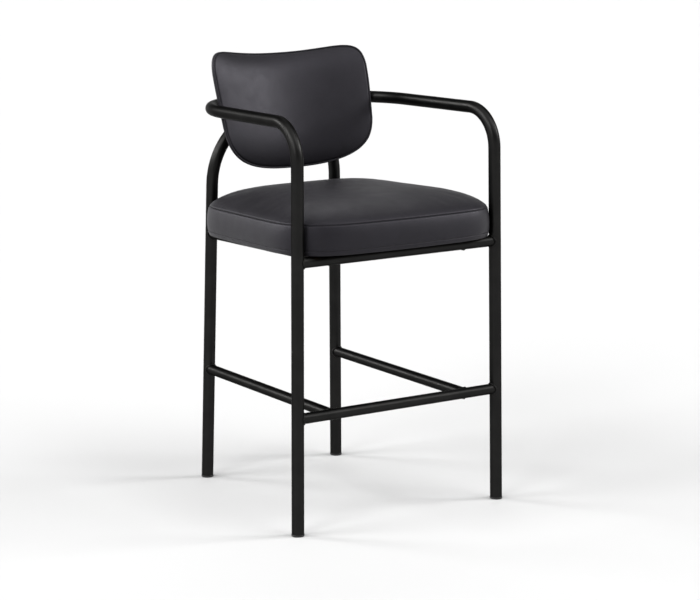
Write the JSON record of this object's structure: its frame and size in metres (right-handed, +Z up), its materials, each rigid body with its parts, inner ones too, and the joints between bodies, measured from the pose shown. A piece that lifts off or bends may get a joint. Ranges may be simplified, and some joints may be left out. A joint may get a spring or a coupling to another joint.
{
  "type": "upholstered bar stool",
  "caption": "Bar stool with a padded square seat, curved padded back, bent-tube legs that run on into arms round the back, a foot rail and side stretchers.",
  "frame": {"origin": "on the floor, under the middle of the stool's width and length", "axes": "+Z up, -Y the way the sitter faces, +X to the sitter's left"},
  "size_m": [0.525, 0.5474, 0.9293],
  "materials": {
    "frame_steel": "satin black powder coat",
    "glide_plastic": "black moulded nylon",
    "upholstery_vinyl": "fine-grained black vinyl over foam",
    "plywood": "plain plywood",
    "dust_cover_cloth": "black non-woven cloth",
    "screw_steel": "black zinc",
    "insert_brass": "plain"
  },
  "bodies": {
    "root": {"front_legs_and_arm_hoop": "frame_steel", "rear_leg_arch": "frame_steel", "front_seat_rail": "frame_steel", "foot_rail": "frame_steel", "seat_side_rail_left": "frame_steel", "seat_side_rail_right": "frame_steel", "side_stretcher_left": "frame_steel", "side_stretcher_right": "frame_steel", "back_strap_left": "frame_steel", "back_strap_right": "frame_steel", "back_rib_left": "frame_steel", "back_rib_right": "frame_steel", "glide_front_left": "glide_plastic", "glide_front_right": "glide_plastic", "glide_rear_left": "glide_plastic", "glide_rear_right": "glide_plastic", "seat_cushion": "upholstery_vinyl", "back_cushion": "upholstery_vinyl", "back_rear_cover": "upholstery_vinyl", "seat_board": "plywood", "back_shell": "plywood", "seat_dust_cover": "dust_cover_cloth", "seat_screw_front_left": "screw_steel", "seat_screw_front_right": "screw_steel", "seat_screw_rear_left": "screw_steel", "seat_screw_rear_right": "screw_steel", "back_screw_lower_left": "screw_steel", "back_screw_lower_right": "screw_steel", "back_screw_upper_left": "screw_steel", "back_screw_upper_right": "screw_steel", "seat_insert_front_left": "insert_brass", "seat_insert_front_right": "insert_brass", "seat_insert_rear_left": "insert_brass", "seat_insert_rear_right": "insert_brass", "back_insert_lower_left": "insert_brass", "back_insert_lower_right": "insert_brass", "back_insert_upper_left": "insert_brass", "back_insert_upper_right": "insert_brass"}
  },
  "joints": []
}
